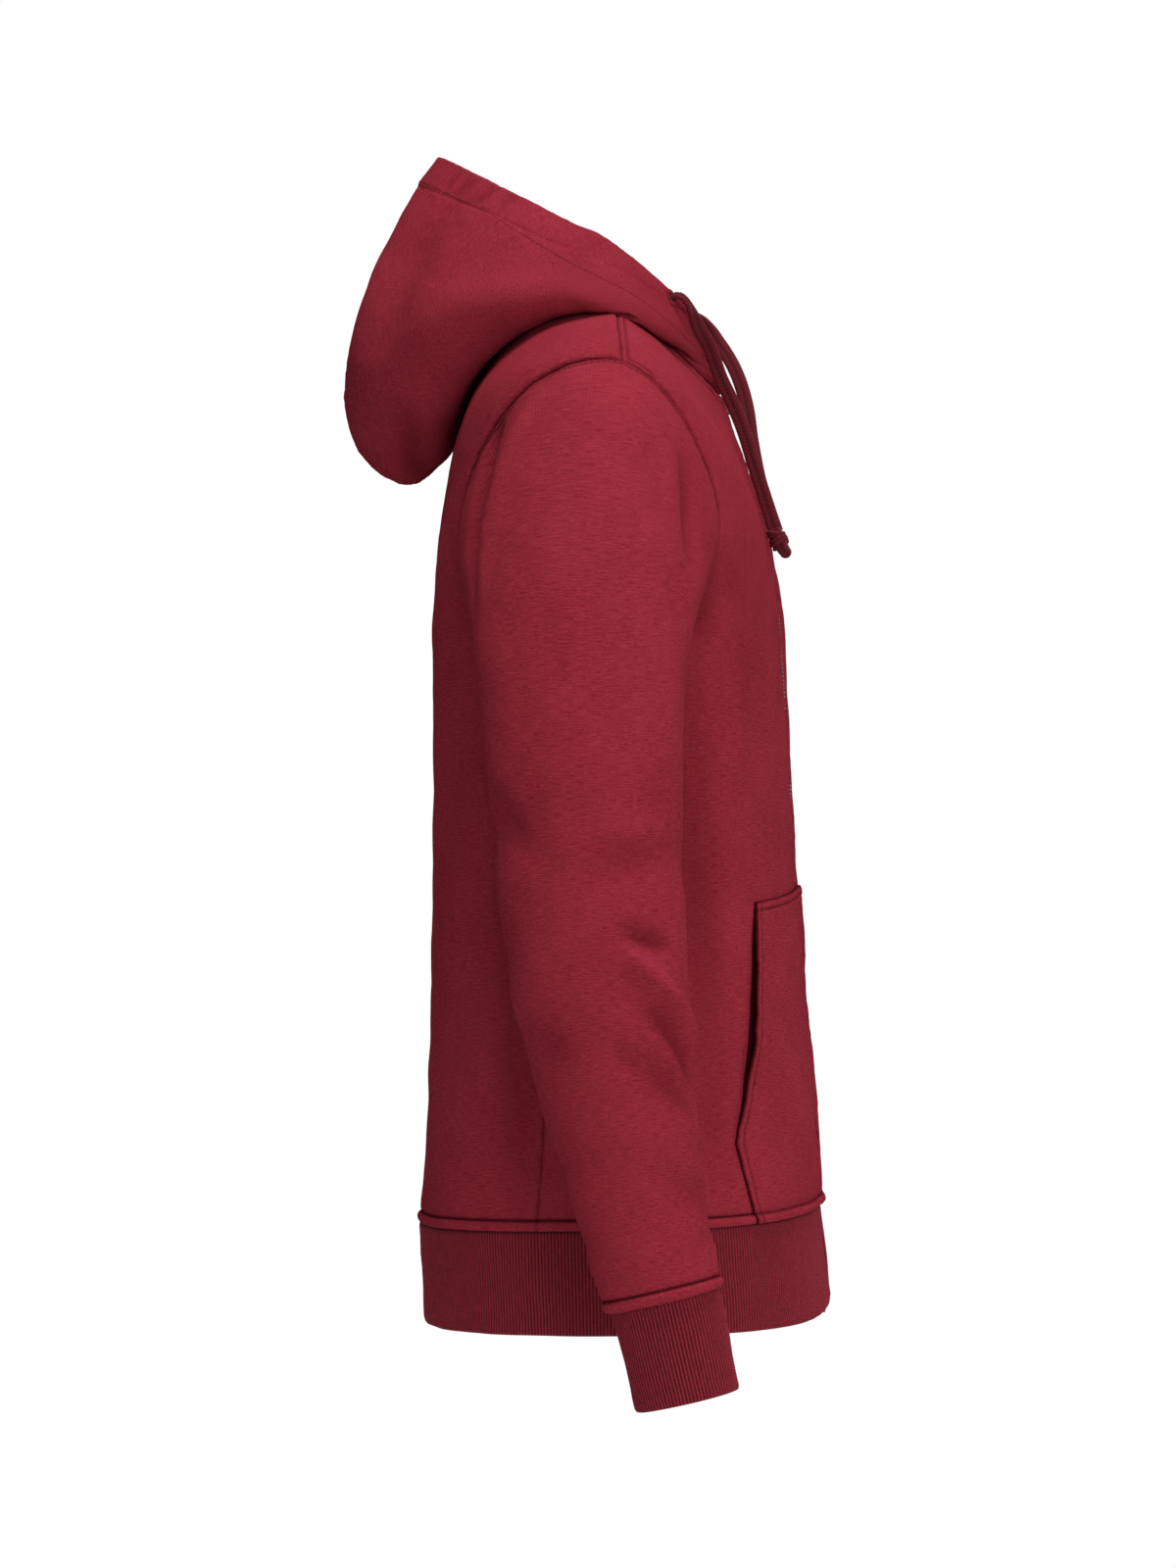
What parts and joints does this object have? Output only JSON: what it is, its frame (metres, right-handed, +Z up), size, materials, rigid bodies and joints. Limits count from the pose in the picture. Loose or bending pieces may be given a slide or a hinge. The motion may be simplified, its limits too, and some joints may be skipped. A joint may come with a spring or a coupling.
{
  "type": "zip-up hoodie",
  "caption": "Zip-up hooded sweatshirt in brushed fleece, worn shape with nobody inside: hood down, drawcords hanging free, kangaroo pocket, ribbed hem and cuffs; the zip pull swings.",
  "frame": {"origin": "middle of the neck, level with the collar seam, where the wearer's shoulders carry the garment", "axes": "+Z up; the front, with its zip, faces -Y; the wearer's right side is at -X"},
  "size_m": [0.6366, 0.3351, 0.8377],
  "materials": {
    "fleece": "matt brushed fleece, deep red",
    "rib_knit": "matt ribbed knit, deep red",
    "drawcord": "flat braided cotton, deep red",
    "zip_tape": "woven tape, dark red",
    "zip_coil": "satin nylon coil, dark red",
    "zip_metal": "satin nickel"
  },
  "bodies": {
    "garment": {"back": "fleece", "front_right": "fleece", "front_left": "fleece", "pocket_right": "fleece", "pocket_left": "fleece", "sleeve_right": "fleece", "sleeve_left": "fleece", "hood_right": "fleece", "hood_left": "fleece", "hem_rib": "rib_knit", "cuff_right": "rib_knit", "cuff_left": "rib_knit", "cord_right": "drawcord", "cord_left": "drawcord", "knot_right": "drawcord", "knot_left": "drawcord", "eyelet_right": "drawcord", "eyelet_left": "drawcord", "zip_tape_right": "zip_tape", "zip_tape_left": "zip_tape", "zip_teeth": "zip_coil", "zip_slider": "zip_metal"},
    "pull": {"zip_pull": "zip_metal"}
  },
  "joints": [
    {"name": "pull_swing", "type": "hinge", "parent": "garment", "child": "pull", "pos_m": [0, -0.07184, -0.05057], "axis": [-1, 0, 0], "range_deg": [0, 150]}
  ]
}
